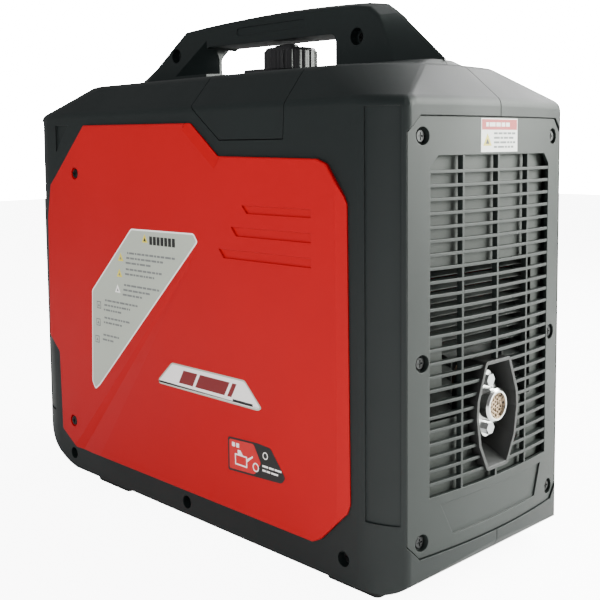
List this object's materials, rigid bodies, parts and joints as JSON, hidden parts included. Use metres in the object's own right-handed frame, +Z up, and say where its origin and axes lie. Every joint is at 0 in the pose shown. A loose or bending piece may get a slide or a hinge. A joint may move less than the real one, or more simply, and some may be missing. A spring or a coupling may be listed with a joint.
{
  "type": "portable inverter generator",
  "caption": "Portable inverter generator: charcoal moulded suitcase body, arched carry handle, red side covers, grilled exhaust end, fuel cap, recoil starter and socket panel.",
  "frame": {"origin": "on the floor under the middle of the machine (bottom centre of the bounding box)", "axes": "+X runs to the exhaust end, -X to the control panel; -Y is the service side with the maintenance cover, +Y the starter side; +Z is up"},
  "size_m": [0.572, 0.26, 0.5185],
  "materials": {
    "shell_black": "fine-grained charcoal moulded plastic",
    "red_cover": "satin red moulded plastic",
    "label": "printed vinyl label",
    "screw_steel": "zinc-plated steel",
    "grille_grey": "light grey grille plate",
    "shroud_black": "heat-resistant black plastic",
    "baffle": "dark heat-resistant paint",
    "muffler_steel": "heat-tinted sheet steel",
    "pipe_chrome": "polished stainless tube",
    "screen_mesh": "sooty stainless mesh",
    "tray_black": "black structural plastic",
    "rubber": "black rubber",
    "tank_plastic": "blow-moulded fuel tank",
    "cap_black": "semi-gloss black plastic",
    "engine_alloy": "die-cast aluminium",
    "shaft_steel": "machined steel",
    "rotor_iron": "machined cast iron",
    "coil_core": "varnished steel laminations",
    "fan_plastic": "glass-filled plastic",
    "panel_black": "fine-textured black panel",
    "meter_glass": "dark display window",
    "red_switch": "red switch plastic",
    "rope": "braided starter rope"
  },
  "bodies": {
    "housing": {"service_side_shell": "shell_black", "starter_side_shell": "shell_black", "spark_plug_cover": "shell_black", "maintenance_cover": "red_cover", "starter_cover": "red_cover", "labels": "label", "side_cover_screws": "screw_steel", "case_screws": "screw_steel", "exhaust_end_cover": "grille_grey", "end_cover_screws": "screw_steel", "grille_blanking_plate": "grille_grey", "exhaust_shroud": "shroud_black", "louvre_baffle": "baffle", "muffler": "muffler_steel", "tail_pipe": "pipe_chrome", "tail_pipe_bolts": "screw_steel", "spark_arrestor_screen": "screen_mesh", "handle_service_half": "shell_black", "handle_starter_half": "shell_black", "handle_screws": "screw_steel", "base_tray": "tray_black", "rubber_feet": "rubber", "fuel_tank": "tank_plastic", "filler_gasket": "rubber", "filler_collar": "cap_black", "crankcase": "engine_alloy", "cylinder": "engine_alloy", "piston": "engine_alloy", "cylinder_head": "engine_alloy", "rocker_cover": "engine_alloy", "spark_plug": "shaft_steel", "spark_plug_cap": "rubber", "engine_mounts": "rubber", "exhaust_header": "muffler_steel", "carburettor": "engine_alloy", "air_filter_box": "tray_black", "air_filter_lid": "tray_black", "stator": "coil_core", "recoil_housing": "baffle", "inverter_module": "engine_alloy", "control_panel": "panel_black", "panel_bezel": "panel_black", "meter_display": "meter_glass", "panel_sockets": "panel_black"},
    "fuel_cap": {"fuel_cap": "cap_black"},
    "vent_lever": {"vent_lever": "cap_black"},
    "starter_grip": {"recoil_handle": "cap_black", "starter_rope": "rope"},
    "starter_reel": {"recoil_reel": "fan_plastic"},
    "crank": {"crankshaft": "shaft_steel", "flywheel_rotor": "rotor_iron", "cooling_fan": "fan_plastic"},
    "engine_knob": {"engine_knob": "red_switch"},
    "eco_switch": {"eco_switch": "red_switch"},
    "start_button": {"start_button": "red_switch"},
    "breaker_button": {"breaker_button": "panel_black"},
    "socket_lid_left": {"socket_lid_left": "panel_black"},
    "socket_lid_right": {"socket_lid_right": "panel_black"},
    "dc_cover": {"dc_cover": "panel_black"},
    "oil_dipstick": {"oil_dipstick": "fan_plastic"}
  },
  "joints": [
    {"name": "fuel_cap_turn", "type": "hinge", "parent": "housing", "child": "fuel_cap", "pos_m": [0.03, 0, 0.468], "axis": [0, 0, 1], "range_deg": [0, 90]},
    {"name": "vent_lever_turn", "type": "hinge", "parent": "fuel_cap", "child": "vent_lever", "pos_m": [0.03, 0, 0.482], "axis": [0, 0, 1], "range_deg": [0, 90]},
    {"name": "starter_pull", "type": "slide", "parent": "housing", "child": "starter_grip", "axis": [0, 1, 0], "range_m": [0, 0.55], "stiffness_N_per_m": 30, "springref_m": -0.4},
    {"name": "reel_turn", "type": "hinge", "parent": "housing", "child": "starter_reel", "pos_m": [-0.073, 0, 0.14], "axis": [-1, 0, 0], "range_deg": [0, 800]},
    {"name": "crank_spin", "type": "hinge", "parent": "housing", "child": "crank", "pos_m": [0.09, 0, 0.14], "axis": [1, 0, 0], "continuous": true},
    {"name": "engine_knob_turn", "type": "hinge", "parent": "housing", "child": "engine_knob", "pos_m": [-0.256, -0.062, 0.3604], "axis": [0.9945, 0, -0.1047], "range_deg": [0, 120]},
    {"name": "eco_switch_tip", "type": "hinge", "parent": "housing", "child": "eco_switch", "pos_m": [-0.25377, -0.026, 0.3481], "axis": [0, 1, 0], "range_deg": [0, 13]},
    {"name": "start_button_press", "type": "slide", "parent": "housing", "child": "start_button", "axis": [0.9945, 0, -0.1047], "range_m": [0, 0.0025], "stiffness_N_per_m": 800, "springref_m": -0.002},
    {"name": "breaker_press", "type": "slide", "parent": "housing", "child": "breaker_button", "axis": [0.9945, 0, -0.1047], "range_m": [0, 0.0025], "stiffness_N_per_m": 800, "springref_m": -0.002},
    {"name": "left_lid_swing", "type": "hinge", "parent": "housing", "child": "socket_lid_left", "pos_m": [-0.26083, 0.05, 0.32119], "axis": [0, 1, 0], "range_deg": [0, 110]},
    {"name": "right_lid_swing", "type": "hinge", "parent": "housing", "child": "socket_lid_right", "pos_m": [-0.26083, -0.016, 0.32119], "axis": [0, 1, 0], "range_deg": [0, 110]},
    {"name": "dc_cover_swing", "type": "hinge", "parent": "housing", "child": "dc_cover", "pos_m": [-0.26889, 0.058, 0.24462], "axis": [0, 1, 0], "range_deg": [0, 110]},
    {"name": "dipstick_turn", "type": "hinge", "parent": "housing", "child": "oil_dipstick", "pos_m": [0.11, -0.06, 0.1], "axis": [0, -1, 0], "range_deg": [0, 360]}
  ],
  "couplings": [
    {"joint": "reel_turn", "follows": "starter_pull", "rad_per_m": 25}
  ]
}
